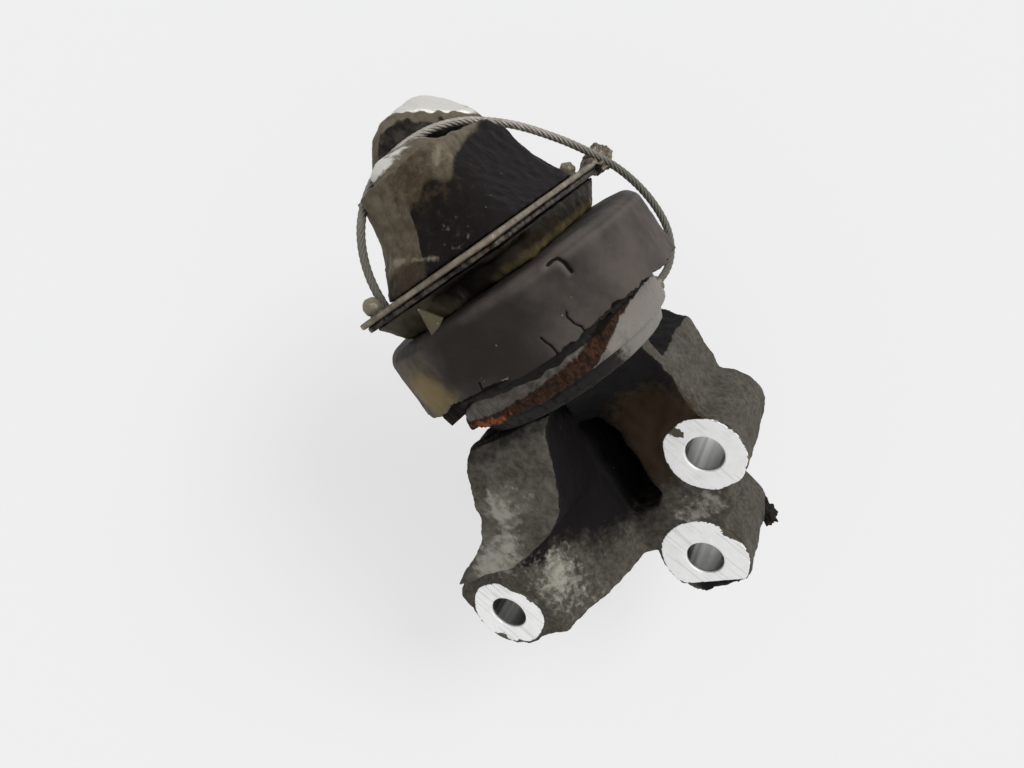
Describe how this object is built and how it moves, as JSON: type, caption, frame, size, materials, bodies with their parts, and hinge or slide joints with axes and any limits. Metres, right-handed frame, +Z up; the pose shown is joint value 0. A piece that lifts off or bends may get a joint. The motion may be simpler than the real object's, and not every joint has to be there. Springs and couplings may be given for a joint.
{
  "type": "hydraulic engine mount",
  "caption": "Engine mount: a cast bell head over a rubber boot on a two-level cast bracket with three bolt bores, and a wire rope over the head that limits its travel.",
  "frame": {"origin": "on the load axis at the floor of the saddle in the head, the mouth of the seat bore", "axes": "+Z up the load axis out of the head; -Y out of the three bolt faces of the bracket; +X towards the side of the bracket with the upper and lower bolts"},
  "size_m": [0.1234, 0.0955, 0.1972],
  "materials": {
    "cast_bracket": "cast, weathered and oily",
    "cast_bell": "cast, weathered and oily",
    "plate_steel": "pressed, worn",
    "rivet_steel": "dull",
    "collar_rubber": "oily",
    "boot_rubber": "dusty, cracked",
    "ring_steel": "dull, rusting",
    "cup_steel": "rusted",
    "core_metal": "cast",
    "inner_rubber": "matt",
    "inner_steel": "plain",
    "inner_plastic": "plain",
    "rope_steel": "stranded, dull"
  },
  "bodies": {
    "root": {"mount_bracket": "cast_bracket", "bell_housing": "cast_bell", "limiter_plate": "plate_steel", "backing_plate": "plate_steel", "plate_rivets": "rivet_steel", "stop_collar": "collar_rubber", "rubber_boot": "boot_rubber", "crimp_ring": "ring_steel", "lower_cup": "cup_steel", "core": "core_metal", "core_stud": "inner_steel", "rubber_spring": "inner_rubber", "support_ring": "inner_steel", "orifice_plate_upper": "inner_plastic", "orifice_plate_lower": "inner_plastic", "decoupler": "inner_rubber", "diaphragm": "inner_rubber", "base_stud": "inner_steel", "locating_pin": "inner_steel", "limiter_rope": "rope_steel", "rope_anchor": "rivet_steel"}
  },
  "joints": []
}
